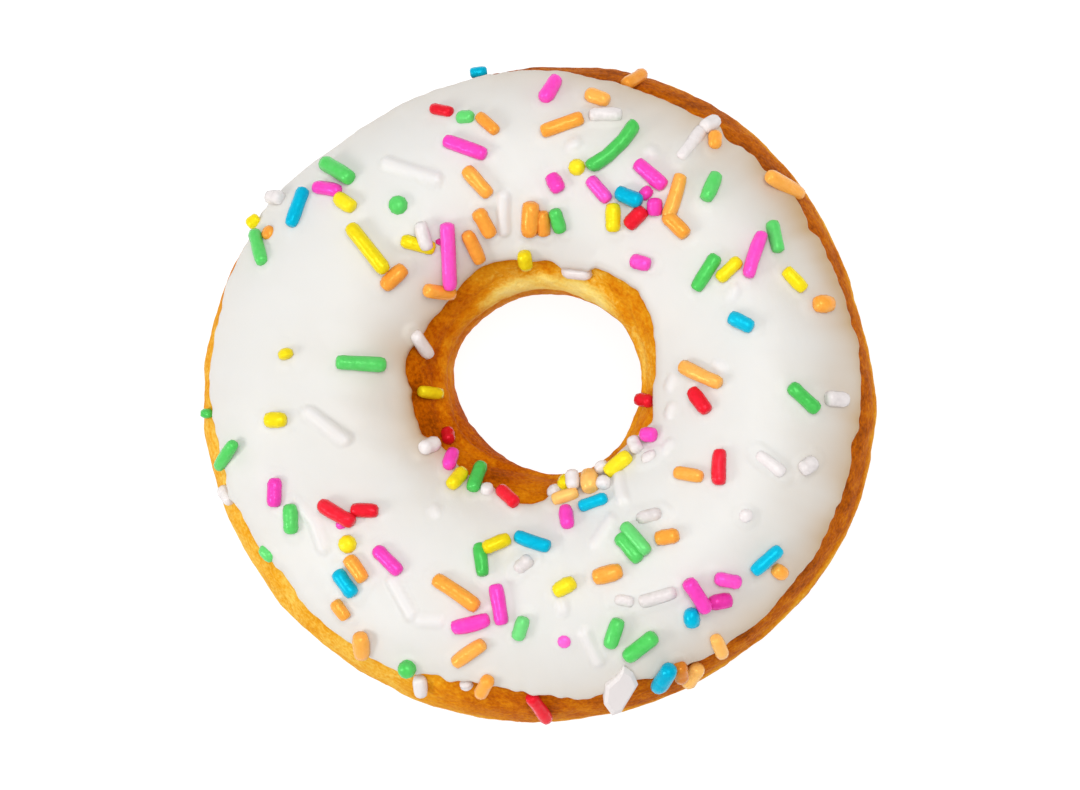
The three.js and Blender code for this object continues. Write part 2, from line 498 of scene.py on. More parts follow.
# %% Draw the lips: places in the camera's view, and the hidden stretch
OUTER_LIP_PLACES = [
    (560, 71), (595, 78), (638, 89), (650, 93), (689, 111), (707, 120), (720, 125), (730, 140),
    (751, 152), (759, 160), (762, 167), (800, 203), (811, 231), (820, 239), (831, 264),
    (846, 299), (852, 327), (858, 338), (860, 360), (861, 404), (860, 432), (852, 442),
    (851, 472), (842, 500), (831, 522), (821, 548), (802, 572), (789, 590), (769, 612),
    (749, 631), (732, 641), (714, 654), (701, 662), (652, 678), (637, 680), (602, 696),
    (590, 700), (550, 697), (526, 694), (495, 688), (460, 682), (448, 684), (438, 676),
    (428, 678), (396, 671), (374, 661), (352, 646), (310, 613), (281, 575), (258, 544),
    (241, 515), (232, 501), (226, 489), (227, 478), (214, 425), (209, 380), (213, 343), (222, 308),
]
HIDDEN_LIP = [(98, 21.2), (110, 21.0), (124, 21.6), (138, 21.0), (150, 21.4)]
HOLE_LIP_PLACES = [
    (538, 263), (553, 264), (562, 271), (588, 273), (594, 270), (624, 283), (638, 294), (650, 322),
    (655, 357), (652, 393), (650, 422), (636, 436), (622, 450), (598, 470), (565, 481),
    (558, 491), (546, 498), (534, 502), (520, 502), (515, 498), (496, 488), (464, 467),
    (452, 451), (434, 439), (424, 434), (419, 422), (413, 391), (408, 374), (410, 360),
    (426, 333), (440, 315), (457, 295), (472, 279), (486, 267), (503, 263),
]
BEAD_OVERHANG = 0.9
LIP_SMOOTHING = 0.7
OUTER_FACE = (12, 88)
HOLE_FACE = (92, 175)
TRACE_STEP = 0.25


# %% Find the lips on the crown
def seen_at(points):
    """Where the camera sees points: their right and up over their depth, in pixels."""
    offset = points - eye
    depth = -offset @ towards_camera
    right = PICTURE_WIDTH / 2 + FOCAL * (offset @ picture_right) / depth
    down = PICTURE_HEIGHT / 2 - FOCAL * (offset @ picture_up) / depth
    return np.stack([right, down], axis=-1)


def trace_lip(places, face):
    """Bearings and section angles for places in the camera's view: for each place, the
    visible point that is seen nearest to it, on a grid over the overhanging crown between
    the two section angles of a face. A cell of the grid faces the camera where its two
    sides turn the same way in the view as they do in space."""
    turns = np.radians(np.arange(0, 360, TRACE_STEP))
    sections = np.radians(np.arange(*face, TRACE_STEP))
    bearing, section = np.meshgrid(turns, sections, indexing="ij")
    seen = seen_at(skin(bearing, section, BEAD_OVERHANG))
    along, across = np.gradient(seen, axis=0), np.gradient(seen, axis=1)
    facing = along[..., 0] * across[..., 1] - along[..., 1] * across[..., 0] < 0
    seen, bearing, section = seen[facing], bearing[facing], section[facing]
    nearest = [np.argmin(np.sum((seen - place) ** 2, axis=1)) for place in places]
    return bearing[nearest], section[nearest]


def section_at_height(bearing, height):
    """The section angle above the waist at which the crown reaches a height: the skin's
    own formula turned round."""
    share = (height - WAIST_HEIGHT) / crown_rise(bearing)
    return np.arcsin(share ** (CROWN_FULLNESS / 2))


def lip_line(bearings, sections, scallops):
    """A lip's section angle at every bearing of the icing's grid: straight lines between
    the drawn places, softened by a bell curve, with layers of noise for small scallops."""
    order = np.argsort(bearings)
    line = np.interp(icing_bearings, bearings[order], sections[order], period=FULL_TURN)
    away = np.degrees((icing_bearings + np.pi) % FULL_TURN - np.pi)
    soft = bell(away, LIP_SMOOTHING)
    line = np.fft.irfft(np.fft.rfft(line) * np.fft.rfft(soft / soft.sum()), len(line))
    middle = skin(icing_bearings, line, 0)
    return line + layered(middle, scallops) / CROWN_RISE


# %% Make the icing's surface
icing_bearings = FULL_TURN * np.arange(ICING_BEARINGS) / ICING_BEARINGS
hidden_bearings, hidden_heights = np.array(HIDDEN_LIP).T
hidden_bearings = np.radians(hidden_bearings)
hidden_sections = section_at_height(hidden_bearings, hidden_heights)
outer_bearings, outer_sections = trace_lip(OUTER_LIP_PLACES, OUTER_FACE)
outer_bearings = np.concatenate([outer_bearings, hidden_bearings])
outer_sections = np.concatenate([outer_sections, hidden_sections])
hole_bearings, hole_sections = trace_lip(HOLE_LIP_PLACES, HOLE_FACE)
lip_start = lip_line(outer_bearings, outer_sections, OUTER_SCALLOPS)[:, None]
lip_end = lip_line(hole_bearings, hole_sections, HOLE_SCALLOPS)[:, None]
over = (1 - np.cos(np.pi * np.arange(ICING_TOP_ROWS) / ICING_TOP_ROWS)) / 2
under = 1 - np.arange(ICING_UNDER_ROWS) / ICING_UNDER_ROWS
share = np.concatenate([over, under])[None, :]
above = (np.arange(share.size) < ICING_TOP_ROWS)[None, :]
bearing = np.broadcast_to(icing_bearings[:, None], (ICING_BEARINGS, share.size))
section = lip_start + share * (lip_end - lip_start)
middle = skin(bearing, section, 0)
mean_rise = (CROWN_RISE + (RING_RADIUS - HOLE_RADIUS) / 2) / 2
span = (lip_end - lip_start) * mean_rise
from_lip = np.minimum(share, 1 - share) * span
rounding = np.sqrt(1 - (1 - ramp(from_lip, 0, LIP_LENGTH)) ** 2)
bead = BEAD_THICKNESS * bell(from_lip - BEAD_PLACE, BEAD_WIDTH)
coat = (ICING_THICKNESS + layered(middle, ICING_LAYERS) + bead - ICING_ROOT) * rounding
icing_lift = ICING_ROOT + np.where(above, coat, 0)
icing_points = skin(bearing, section, icing_lift)
icing = mesh_object(
    "icing_coat",
    icing_points.reshape(-1, 3),
    [grid_faces(ICING_BEARINGS, share.size)],
)
print("icing:", len(icing.data.polygons), "faces")

# %% [markdown]
# ## Where the sprinkles lie
#
# Sprinkles could be scattered at random, but a handful thrown on wet icing makes clumps and
# bare patches that a random scatter lacks. So each rod is laid one by one: its two ends are
# places in the camera's view, in pixels, and a line of sight through each finds the icing
# or crust that carries it. A rod that is seen end on has its two ends in one place. The
# next two numbers, in millimetres, say how much higher (or, half drowned in icing, lower)
# each end lies than a rod that rests on the icing. The last three say how thick it is
# beside the usual one, how far a curved one bows to its right, in millimetres, and its
# tone, from -1 for darkest to 1 for palest. The first white rods to fall drowned, so only
# their depth under the icing's face is told. One white chip is a broken slab of sugar.

# %% Lay out the rods: pixels of both ends, rise of both ends, thickness, bow, tone
# Where a rod lies in the shade of another, its dark tone is painted shade.
PINK_RODS = [
    (444, 140, 486, 155), (557, 77, 543, 100), (314, 187, 340, 191),
    (447, 223, 450, 290, 0.3, 0.9, 1.12),
    (550, 174, 560, 192, 0, 0, 1.1), (589, 178, 609, 201), (636, 162, 665, 187),
    (641, 198, 651, 188, -0.2, -0.2, 0.9, 0, -0.4), (655, 198, 655, 216), (631, 260, 650, 265, -0.2, -0.2),
    (763, 232, 748, 277, 0.2, 0.2), (641, 434, 656, 435, 0, 0, 1.05), (454, 450, 448, 468),
    (565, 506, 568, 527), (275, 478, 274, 507), (375, 548, 400, 573), (495, 584, 502, 625),
    (452, 628, 489, 619), (564, 642, 564, 642, -0.4, -0.4, 1.1, 0, 0.6), (715, 578, 741, 583),
    # The pink rod from 709, 604 lies in the shade of the rod beside it: its dark tone is painted shade.
    (687, 580, 708, 612, 0.8, 0.5), (709, 604, 732, 600, 0, 0, 1, 0, -0.6),
    # The pink rod end at 441, 245 peeks out under another rod: its dark tone is painted shade.
    (343, 529, 341, 520, -0.6, -0.6, 0.8), (441, 245, 441, 238, -0.6, -0.6, 0.8, 0, -0.5),
]
ORANGE_RODS = [
    (478, 115, 497, 132, 0, 0, 0.88), (586, 93, 609, 101, 0, 0, 1, 0, 0.3),
    (541, 132, 583, 117), (465, 168, 490, 196),
    (477, 210, 492, 237), (466, 232, 481, 263), (531, 202, 529, 237, 0, 0, 1.2),
    (542, 211, 544, 236, -0.3, -0.3), (681, 174, 667, 219), (665, 214, 687, 236),
    (644, 73, 624, 85, 0, 0, 1, 0, -0.4), (715, 132, 715, 147), (768, 175, 802, 195),
    (815, 304, 833, 304, 0, 0, 1.1), (680, 365, 721, 384, 0, 0, 0.95, 0, 0.5),
    (674, 472, 703, 477, 0, 0, 1, 0, 0.3), (655, 539, 679, 535),
    (383, 288, 405, 267, 0, 0, 1.2), (425, 290, 454, 294),
    (267, 232, 267, 232, -0.3, -0.3, 1.05), (347, 557, 364, 581, 0, 0, 1.1), (334, 601, 347, 619),
    (360, 635, 362, 657, 0, 0, 1.08), (434, 578, 478, 608, 0, 0, 1.1), (454, 664, 484, 643),
    (489, 678, 479, 696), (593, 578, 622, 570, 0, 0, 1.05),
    (552, 500, 578, 492, 0, 0, 0.85, 0, 0.8),
    (589, 471, 590, 491, 0, 0, 1.2, 0, 0.8), (715, 637, 723, 656, 0, 0, 1, 0, 0.4),
    # The orange rod from 679, 664 lies in shade: its dark tone is painted shade.
    (699, 666, 686, 685, 0, 0, 1.1, 0, 0.6), (679, 664, 682, 681, -0.2, -0.2, 1, 0, -0.6),
    (774, 568, 786, 576),
]
GREEN_RODS = [
    (457, 118, 474, 117, -0.3, -0.3, 1, 0, 0.4), (323, 162, 351, 179, 0, 0, 1.2),
    (397, 204, 397, 204, 0, 0, 1.25),
    (254, 231, 262, 263, 0, 0, 0.96), (336, 362, 386, 365),
    (554, 209, 561, 233), (717, 173, 705, 200), (717, 255, 695, 290), (772, 221, 779, 252, 0, 0, 0.92),
    (588, 168, 636, 122, 0, 0, 1, 0.66),
    (790, 385, 818, 411), (207, 409, 207, 418), (234, 443, 218, 468, 0, 0, 0.82), (290, 504, 291, 534),
    (262, 547, 274, 559, -0.8, -0.8, 1, 0, 0.5), (405, 672, 405, 672, 0, 0, 1.2), (479, 543, 483, 576),
    (623, 524, 648, 553, 0.4, 0.4, 1, 0, 0.5), (618, 535, 640, 561), (524, 617, 517, 640, 0, 0, 1, 0, 0.5),
    (619, 619, 609, 648), (656, 635, 625, 659), (482, 463, 472, 490, 0, 0, 0.9),
]
YELLOW_RODS = [
    (336, 196, 354, 208), (349, 225, 386, 272, 0.1, 0.7), (401, 240, 435, 249, -0.2, -0.3),
    (576, 167, 576, 167, 0.1, 0.1, 1.1), (613, 203, 613, 232), (524, 252, 527, 269),
    (740, 259, 718, 280), (785, 269, 805, 290), (284, 349, 287, 359, -0.1, -0.1, 1.1),
    (265, 420, 286, 420, -0.1, -0.1, 1.1), (419, 391, 442, 394, 0.2, -0.2, 0.85, 0, -0.3),
    (464, 470, 450, 486), (606, 474, 630, 454),
    (563, 488, 567, 476, 0, 0, 0.95, 0, -0.2), (483, 549, 510, 538, 0.7, 0.2),
    (554, 593, 575, 581, 0, 0, 1.1), (346, 544, 346, 544, 0.1, 0.1, 1.3), (248, 226, 259, 217, -0.3, -0.3),
]
RED_RODS = [
    (431, 108, 452, 112, 0, 0, 0.82), (627, 227, 645, 209), (691, 389, 708, 412), (720, 449, 719, 485),
    (499, 488, 516, 504, 0, 0, 0.88), (319, 503, 354, 523, 0.3, 0.3), (351, 510, 378, 511),
    # The red rod from 447, 429 lies in shade: its dark tone is painted shade.
    (530, 696, 548, 721, 0, 0, 0.9), (636, 399, 652, 402), (447, 429, 449, 442, 0, 0, 1.05, 0, -0.6),
]
BLUE_RODS = [
    (304, 188, 290, 226), (470, 73, 487, 71, 0, 0, 0.82), (616, 191, 642, 202, 0.2, 0.2),
    (729, 316, 753, 328), (579, 507, 607, 497, 0, 0, 0.8), (515, 535, 550, 547),
    (336, 571, 354, 596), (781, 548, 753, 573, 0.3, 0.3), (691, 609, 693, 627),
    (671, 667, 656, 690, 0.5, 0.5, 1.2),
]
WHITE_RODS = [
    (268, 197, 282, 198), (420, 222, 428, 250, 0.5, 0.3), (589, 115, 622, 115, -0.35, -0.35),
    (679, 160, 703, 128, -0.95, -0.55), (703, 128, 717, 120), (826, 398, 848, 400, 0, 0, 1.1),
    (757, 453, 784, 474, -0.85, -0.45), (801, 471, 816, 460), (643, 461, 657, 454, -0.7, -0.7),
    (746, 516, 746, 516, -0.3, -0.3), (637, 520, 662, 513, -0.75, -0.75),
    (516, 571, 532, 558, -0.95, -0.6), (421, 449, 438, 442, -0.3, 0.1), (415, 333, 430, 356, -0.2, 0.2),
    (487, 487, 487, 488), (572, 471, 573, 488, 0.7, 0.7), (550, 494, 560, 490, -0.5, -0.5),
    (599, 463, 604, 471, 0.2, 0.2), (605, 477, 602, 488, 0.1, 0.1), (632, 438, 638, 451, 0.1, 0.1),
    (563, 270, 591, 273, -0.4, -0.4), (615, 599, 634, 602, -0.7, -0.6), (639, 602, 676, 591, -0.7, -0.7),
    (419, 677, 421, 695), (465, 681, 468, 688, -0.2, -0.2, 0.85), (222, 488, 231, 502),
]
DROWNED_RODS = [
    (388, 165, 437, 180, 0.4), (504, 197, 504, 229, 0.5), (573, 147, 576, 145, 0.6),
    (650, 153, 652, 156, 0.7), (720, 366, 722, 370, 0.8), (676, 380, 673, 386, 0.8),
    (675, 409, 673, 414, 0.7), (733, 297, 735, 290, 0.75), (668, 452, 672, 446, 0.7),
    (597, 545, 612, 522, 0.65), (310, 413, 345, 440, 0.4), (300, 504, 315, 520, 0.6),
    (315, 520, 325, 547, 0.6),
    (394, 581, 412, 613, 0.4), (422, 619, 441, 620, 0.7), (563, 604, 564, 609, 0.6),
    (585, 633, 598, 658, 0.6), (435, 512, 436, 514, 0.8), (620, 478, 624, 500, 0.5),
]
CHIP_PLACES = [
    (624, 666), (618, 676), (606, 686), (604, 704), (612, 715), (621, 712), (638, 684), (633, 672),
]

# %% [markdown]
# ## The shape of a rod
#
# A sugar rod is squeezed through a plate, dried and tumbled, so it is a little bent, and its
# cut ends are only rounded at their rims. One rod is a short profile swept round its own
# axis. Some seventy faces are enough, because smooth shading does the rest, and there are
# well over a hundred rods.

# %% Name a rod's sizes: millimetres, or else shares of its own radius or length
ROD_RADIUS = 0.95
GIRTH_RANGE = (0.92, 1.08)
LUMP_RANGE = (0.95, 1.05)
ROD_SIDES = 10
SUNK_SHARE = 0.4
END_PROFILE = [(0.0, 0.5), (0.22, 0.84), (0.8, 1)]
LONGEST_END = 0.3
USUAL_EXTRAS = [0, 0, 1, 0, 0]
MOST_TINT = 0.22
MOST_BEND = 0.12
BENT_LENGTH = 1.5
SHORTEST_ROD = 1.0
END_ON_RISE = 0.35
END_ON_DEPTH = 2.2

# %% Name how rods are seated: a slope, a cosine, a share, and how many tries and places
STEEPEST = 0.85
LEAST_FACING = 0.35
LIFT_SHARE = 0.6
LIFTS = 3
GRAZING_STEPS = 12
BURY_PLACES = 5


# %% Seat the rods on what carries them, found by search trees over both meshes, in metres
made_so_far = bpy.context.evaluated_depsgraph_get()
carriers = [BVHTree.FromObject(made, made_so_far) for made in (icing, dough)]


def nearest_skin(point):
    """The nearest point of icing or crust, in millimetres, and its normal."""
    found = [tree.find_nearest(Vector(point * MM)) for tree in carriers]
    place, normal, _, _ = min(found, key=lambda hit: hit[3])
    return np.array(place) / MM, np.array(normal)


def seat_end(pixel, height):
    """The point on a pixel's line of sight that stands a height above what it meets: back
    from the hit by the height over the cosine between the line and the normal. A line that
    just misses the doughnut takes its point nearest to the skin."""
    ray = line_of_sight(pixel)
    hits = [tree.ray_cast(Vector(eye * MM), Vector(ray)) for tree in carriers]
    hits = [hit for hit in hits if hit[0] is not None]
    if not hits:
        point = eye + ray * CAMERA_DISTANCE
        for _ in range(GRAZING_STEPS):
            place, _ = nearest_skin(point)
            point = eye + ray * np.dot(place - eye, ray)
        return point
    place, normal, _, _ = min(hits, key=lambda hit: hit[3])
    facing = max(LEAST_FACING, -np.dot(ray, np.array(normal)))
    return np.array(place) / MM - ray * height / facing


def towards_eye(point, distance):
    """A point moved along its own line of sight, so that it stays in place in the view."""
    return point + distance * (eye - point) / np.linalg.norm(eye - point)


def bury(start, end, rises, height):
    """How deep a rod's axis lies under the height that it should keep above the skin, at
    the worst of a few places along it, counted along the line of sight."""
    worst = 0
    for share in np.linspace(0, 1, BURY_PLACES):
        point = start + share * (end - start)
        place, normal = nearest_skin(point)
        missing = height + rises @ [1 - share, share] - np.dot(point - place, normal)
        facing = max(LEAST_FACING, np.dot(normal, towards_camera))
        worst = max(worst, missing / facing)
    return worst


def lay_rod(first, second, rise_first, rise_second, girth):
    """Both ends of a rod and its radius. The ends are seated at their heights. A rod seen end
    on has them one under the other along the skin's normal. In any other, the lower end
    comes up if the rod would hang steeper than one that is stuck by its upper end, and then
    the whole comes up by most of what a convex skin would bury of it."""
    radius = ROD_RADIUS * girth * dice.uniform(*GIRTH_RANGE)
    height = radius * (1 - SUNK_SHARE)
    ends = [seat_end(first, height + rise_first), seat_end(second, height + rise_second)]
    along = ends[1] - ends[0]
    depth = along @ towards_camera
    across = np.linalg.norm(along - depth * towards_camera)
    if across < SHORTEST_ROD * radius:
        middle = max(ends, key=lambda end: end @ towards_camera)
        _, normal = nearest_skin(middle)
        top = middle + normal * END_ON_RISE * radius
        return top, middle - normal * END_ON_DEPTH * radius, radius
    lower = 0 if depth > 0 else 1
    ends[lower] = towards_eye(ends[lower], max(0, abs(depth) - STEEPEST * across))
    for _ in range(LIFTS):
        lift = LIFT_SHARE * bury(*ends, np.array([rise_first, rise_second]), height)
        ends = [towards_eye(end, lift) for end in ends]
    return *ends, radius


def lay_rods(rods):
    """Seat a list of rods: arrays of their first ends, second ends, radii, bows and tones."""
    laid = []
    for x0, y0, x1, y1, *extras in rods:
        rise_first, rise_second, girth, bow, tone = extras + USUAL_EXTRAS[len(extras):]
        laid.append((*lay_rod((x0, y0), (x1, y1), rise_first, rise_second, girth), bow, tone))
    return [np.array(column) for column in zip(*laid)]


# %% Sweep the rods
def unit(vectors):
    """Vectors of length 1 in the same directions."""
    return vectors / np.linalg.norm(vectors, axis=-1, keepdims=True)


def rod_points(starts, ends, radii, bows):
    """Rings of points along each rod: the axis point at each step of the profile, plus the
    profile's radius times a turning unit vector. A sine of the way along bends the axis:
    by its bow to the right in the camera's view, or else a little to any side."""
    axis = ends - starts
    length = np.linalg.norm(axis, axis=1)[:, None]
    axis = unit(axis)
    bows = bows[:, None]
    chance = dice.normal(size=axis.shape)
    side = unit(np.cross(axis, np.where(bows == 0, chance, towards_camera)))
    other = np.cross(axis, side)
    depth, wide = np.array(END_PROFILE).T
    from_end = np.minimum(depth[None, :] * radii[:, None], length * LONGEST_END)
    thirds = [length / 3, length * 2 / 3]
    along = np.concatenate([from_end, *thirds, length - from_end[:, ::-1]], axis=1)
    reach = np.concatenate([wide, [1.0, 1.0], wide[::-1]])[None, :] * radii[:, None]
    reach = reach * dice.uniform(*LUMP_RANGE, size=reach.shape)
    bend = dice.uniform(-MOST_BEND, MOST_BEND, size=bows.shape)
    bend = bend * np.minimum(length / 4, BENT_LENGTH)
    bowed = np.where(bows == 0, bend, bows) * np.sin(np.pi * along / length)
    centre = starts[:, None] + along[..., None] * axis[:, None] + bowed[..., None] * side[:, None]
    turn = FULL_TURN * np.arange(ROD_SIDES) / ROD_SIDES
    spoke = np.cos(turn)[None, :, None] * side[:, None] + np.sin(turn)[None, :, None] * other[:, None]
    return centre[:, :, None] + reach[:, :, None, None] * spoke[:, None]


def rod_faces(count, rings):
    """Quads that join each ring of a rod to the next, and one many-sided face that closes
    each end, for all rods at once."""
    rod, ring, spoke = np.meshgrid(
        np.arange(count), np.arange(rings - 1), np.arange(ROD_SIDES), indexing="ij"
    )
    base = (rod * rings + ring) * ROD_SIDES
    next_spoke = (spoke + 1) % ROD_SIDES
    near = [base + spoke, base + next_spoke]
    far = [base + next_spoke + ROD_SIDES, base + spoke + ROD_SIDES]
    sides = np.stack([corner.ravel() for corner in near + far], axis=-1)
    first_ring = np.arange(count)[:, None] * rings * ROD_SIDES + np.arange(ROD_SIDES)[::-1]
    last_ring = (np.arange(count)[:, None] * rings + rings - 1) * ROD_SIDES + np.arange(ROD_SIDES)
    return [sides, np.concatenate([first_ring, last_ring])]


def sprinkle_piece(name, rods):
    """One mesh of all the rods of a colour, with a tone for each rod kept on its points: a
    batch's darker or paler colour, and on rods in the shade of others painted shade.
    """
    starts, ends, radii, bows, tones_and_shade = lay_rods(rods)
    points = rod_points(starts, ends, radii, bows)
    count, rings = points.shape[:2]
    piece = mesh_object(name, points.reshape(-1, 3), rod_faces(count, rings))
    tones_and_shade = tones_and_shade + dice.uniform(-MOST_TINT, MOST_TINT, size=count)
    store(piece, "rod_tint_and_shade", np.repeat(tones_and_shade, rings * ROD_SIDES))
    print(name + ":", count, "rods")
    return piece, (starts, ends, radii)


# %% Make the seven colours of rods
COLOURS = {
    "pink": ("#F646BA", PINK_RODS),
    "orange": ("#F6A43E", ORANGE_RODS),
    "green": ("#52C75B", GREEN_RODS),
    "yellow": ("#F0D91A", YELLOW_RODS),
    "red": ("#E82031", RED_RODS),
    "blue": ("#06B0D0", BLUE_RODS),
    "white": ("#E2DAD7", WHITE_RODS),
}
sprinkles = {}
laid = {}
for colour, (_, rods) in COLOURS.items():
    sprinkles[colour], laid[colour] = sprinkle_piece("sprinkles_" + colour, rods)

# %% [markdown]
# ## A broken chip of sugar
#
# Among the rods lies one flat, angular chip of the same white sugar, leaning on the icing's
# lip. It is a slab: its outline is repeated in a few rings, one behind the other, and the
# ring nearest the eye is a little smaller, which bevels its edge. Its faces stay flat, as
# those of anything broken are.

# %% Make the chip from rings: each one's share of the outline, and its rise in millimetres
CHIP_RINGS = [(0.9, -1.5), (1.0, -0.1), (1.0, 0.1), (0.8, 0.4)]


def slab(name, places):
    """A closed slab whose outline is seen at places in the view. Its plane lies nearest
    to the skin at those places, but turned halfway to the camera, and is moved out to the
    highest of them. Each ring is the outline shrunk by its share and moved along the
    plane's normal."""
    seats = np.array([seat_end(place, 0) for place in places])
    middle = seats.mean(axis=0)
    normal = np.linalg.svd(seats - middle)[2][-1]
    normal = unit(normal * np.sign(normal @ towards_camera) + towards_camera)
    middle = middle + normal * ((seats - middle) @ normal).max()
    rays = np.array([line_of_sight(place) for place in places])
    corners = eye + rays * ((middle - eye) @ normal / (rays @ normal))[:, None]
    heart = corners.mean(axis=0)
    rings = [heart + share * (corners - heart) + rise * normal for share, rise in CHIP_RINGS]
    count = len(places)
    ring, corner = np.meshgrid(np.arange(len(rings) - 1), np.arange(count), indexing="ij")
    base, next_base = ring * count + corner, ring * count + (corner + 1) % count
    sides = np.stack([base, next_base, next_base + count, base + count], axis=-1)
    ends = np.array([np.arange(count)[::-1], np.arange(count) + (len(rings) - 1) * count])
    made = mesh_object(name, np.concatenate(rings), [sides.reshape(-1, 4), ends])
    made.data.shade_flat()
    return made


chip = slab("sugar_chip", CHIP_PLACES)
print("chip:", len(chip.data.polygons), "faces")

# %% [markdown]
# ## Swells of icing round the rods
#
# Wet icing climbs a little up whatever lies in it. The icing's points near a rod are
# pushed out along their normals, most against the rod itself. The white rods were the first
# to fall, so they lie deepest and the icing has closed over their flanks. Over a drowned
# rod nothing but icing shows, so there the icing alone is shaped: it follows a round a
# little thicker than the rod, with a soft foot. There the icing is also paled towards the
# rod's white: partly the rod seen through the thin coat, and partly painted light that lifts
# the shade on the mound's flanks.

# %% Raise the icing round each rod
SWELL_HEIGHT = 0.14
WHITE_SWELL_HEIGHT = 0.24
SWELL_REACH = 0.5
COVER_RADIUS = 1.06
COVER_SOFTNESS = 0.22
# Over a drowned rod the icing is paled: partly the rod seen through, partly painted light on the mound's
# flanks.
VEIL_REACH = 0.8
VEIL_SOFTNESS = 0.12
VEIL_AND_LIGHT_SHARE = 0.35


def segment_distance(points, start, end):
    """The distance of each point from a rod's axis: to the point of the axis at the share
    of the way along that is nearest, held between its two ends."""
    axis = end - start
    share = np.clip((points - start) @ axis / (axis @ axis), 0, 1)
    return np.linalg.norm(points - start - share[:, None] * axis, axis=1)


def cover(across, depth):
    """How high icing stands over a drowned rod, at a distance across it: the height of a
    round about its axis over the plain icing, which is a depth above that axis, in a soft
    maximum with nothing."""
    cap = np.sqrt(np.maximum(COVER_RADIUS**2 - across**2, 0)) - depth
    nothing = (np.hypot(depth, COVER_SOFTNESS) - depth) / 2
    return (cap + np.hypot(cap, COVER_SOFTNESS)) / 2 - nothing


surface = icing_points.reshape(-1, 3)
swell = np.zeros(len(surface))
for colour, (starts, ends, radii) in laid.items():
    height = WHITE_SWELL_HEIGHT if colour == "white" else SWELL_HEIGHT
    for start, end, radius in zip(starts, ends, radii):
        gap = np.maximum(segment_distance(surface, start, end) - radius, 0)
        swell = np.maximum(swell, height * bell(gap, SWELL_REACH))
# Paler over drowned rods: the rod seen through the coat, and painted light on the mound's flanks.
veil_and_light = np.zeros(len(surface))
for x0, y0, x1, y1, depth in DROWNED_RODS:
    start, end = seat_end((x0, y0), -depth), seat_end((x1, y1), -depth)
    from_axis = segment_distance(surface, start, end)
    across = np.sqrt(np.maximum(from_axis**2 - depth**2, 0))
    swell = np.maximum(swell, cover(across, depth))
    veil_and_light = np.maximum(veil_and_light, 1 / (1 + np.exp((across - VEIL_REACH) / VEIL_SOFTNESS)))
store(icing, "rod_veil_and_light", VEIL_AND_LIGHT_SHARE * veil_and_light)
swell = swell.reshape(icing_lift.shape) * above * rounding
icing_points = skin(bearing, section, icing_lift + swell)
icing.data.vertices.foreach_set("co", (icing_points * MM).astype(np.float32).ravel())
icing.data.update()
print("the icing swells by up to", round(float(swell.max()), 2), "mm")

# %% [markdown]
# ## Where the coat is thin, and painted shade on the icing
#
# The icing is thin at its lips, and there the warm crust shows through it. It is thinner
# towards its outer lip on the right and towards its lip in the hole on the left, and on these
# sides, turned away from the window light, the warm tan is also painted shade and painted
# warm light thrown back from the crust.

# %% Work out how thin the coat is, and the painted shade, from its two lips inwards
# Partly thin icing and partly painted shade and painted warm light from the crust: the outer side on the
# right, most round bearing 10, and the hole's side on the left.
OUTER_THIN_AND_SHADED_SIDE, OUTER_THIN_AND_SHADE = (10, 70, 0.3), 0.9
THINNEST_AND_DARKEST_SIDE, THINNEST_AND_DARKEST_ADDS = (10, 26, 0.06), 0.35
HOLE_THIN_AND_SHADED_SIDE, HOLE_THIN_AND_SHADE = (185, 55, 0.3), 0.85
THIN_ELSEWHERE = 0.12
THIN_PATCHES = (0.2, 7, 9)
THIN_LIP = 0.3
THIN_REACH = 4.2
LIP_REACH = 0.8
# Thin icing all round, with painted shade on the sides turned away from the window light.
outer_thin_and_shade = THIN_ELSEWHERE + OUTER_THIN_AND_SHADE * around(bearing, *OUTER_THIN_AND_SHADED_SIDE)
outer_thin_and_shade += THINNEST_AND_DARKEST_ADDS * around(bearing, *THINNEST_AND_DARKEST_SIDE)
hole_thin_and_shade = THIN_ELSEWHERE + HOLE_THIN_AND_SHADE * around(bearing, *HOLE_THIN_AND_SHADED_SIDE)
thinness_and_shade = outer_thin_and_shade * np.exp(-share * span / THIN_REACH)
thinness_and_shade += hole_thin_and_shade * np.exp(-(1 - share) * span / THIN_REACH)
thinness_and_shade = thinness_and_shade * (1 + layered(middle, [THIN_PATCHES]))
thinness_and_shade += THIN_LIP * bell(from_lip, LIP_REACH)
store(icing, "thinness_and_shade", thinness_and_shade)
print("thinness runs from 0 to", round(float(thinness_and_shade.max()), 2), "and counts up to 1")

# %% [markdown]
# ## Finishes
#
# Every finish is built from the same few nodes, so one small function adds a node, sets its
# values and links what comes into it. Sockets go by their names, except on the Mix node,
# which has several of each name: there the colour ones go by their numbers. Nearly all of a
# noise lies between a quarter and three quarters, so that is the range that gets mapped.

# %% Tools for materials
MIX_SHARE = 0
MIX_FIRST = 6
MIX_SECOND = 7
MIX_RESULT = 2
NOISE_RANGE = {"From Min": 0.25, "From Max": 0.75}


def linear(sheet):
    """A hex colour as it shows on a screen, turned to the linear numbers that light adds up
    in: (c + 0.055) / 1.055 to the power 2.4, or c / 12.92 where it is very dark."""
    channels = [int(sheet[place:place + 2], 16) / 255 for place in (1, 3, 5)]
    bright = [((c + 0.055) / 1.055) ** 2.4 if c > 0.04045 else c / 12.92 for c in channels]
    return (*bright, 1.0)


